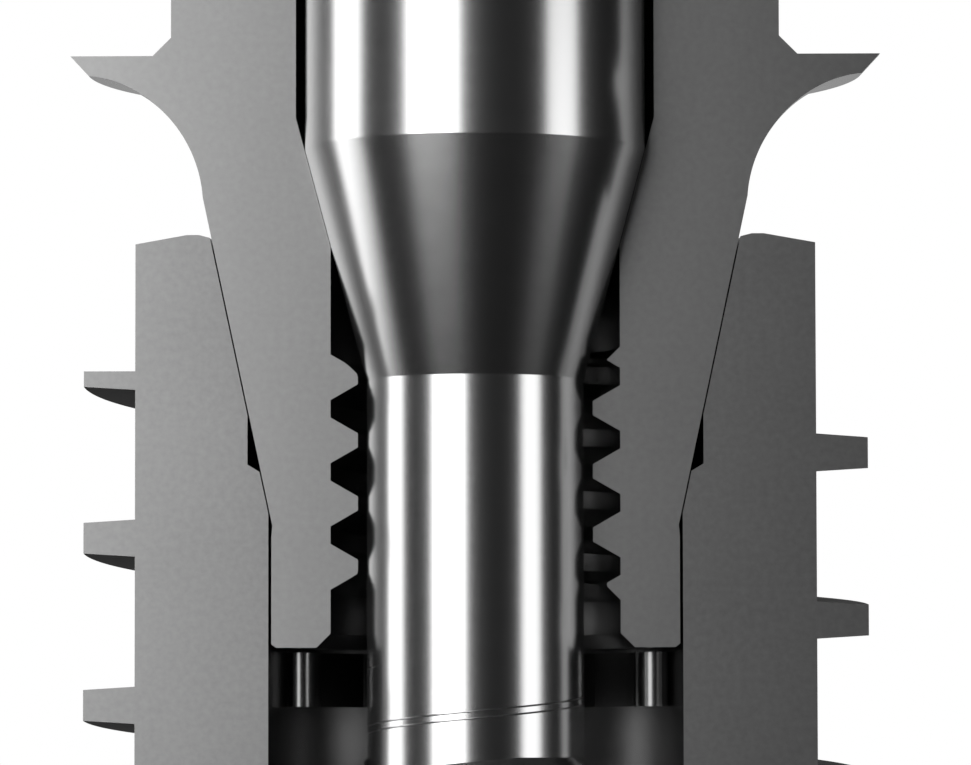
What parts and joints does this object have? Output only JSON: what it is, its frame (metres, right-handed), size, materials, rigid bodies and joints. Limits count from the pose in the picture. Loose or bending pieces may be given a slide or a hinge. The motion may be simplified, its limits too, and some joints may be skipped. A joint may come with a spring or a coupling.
{
  "type": "sectioned dental implant with abutment and abutment screw",
  "caption": "Dental implant cut along its axis: threaded implant body, flanged abutment seated in its internal cone, and the whole abutment screw that clamps them.",
  "frame": {"origin": "on the implant's axis, at the top of the implant body's collar", "axes": "+Z along the implant's axis, from the apex towards the crown; the section plane is Y = 0 and the material of the halves lies on the +Y side"},
  "size_m": [0.0044, 0.0031, 0.016],
  "materials": {
    "implant_titanium": "matte blasted titanium, with flat grey cut faces",
    "abutment_titanium": "fine turned titanium, with flat grey cut faces",
    "screw_titanium": "polished titanium"
  },
  "bodies": {
    "implant": {"implant_body": "implant_titanium"},
    "abutment_half": {"abutment": "abutment_titanium"},
    "screw": {"abutment_screw": "screw_titanium"}
  },
  "joints": [
    {"name": "abutment_lift", "type": "slide", "parent": "implant", "child": "abutment_half", "axis": [0, 0, 1], "range_m": [0, 0.0021]},
    {"name": "screw_turn", "type": "hinge", "parent": "abutment_half", "child": "screw", "pos_m": [0, 0, 0], "axis": [0, 0, 1], "range_deg": [0, 2170]}
  ],
  "couplings": [
    {"joint": "screw_turn", "follows": "abutment_lift", "rad_per_m": 17952}
  ]
}
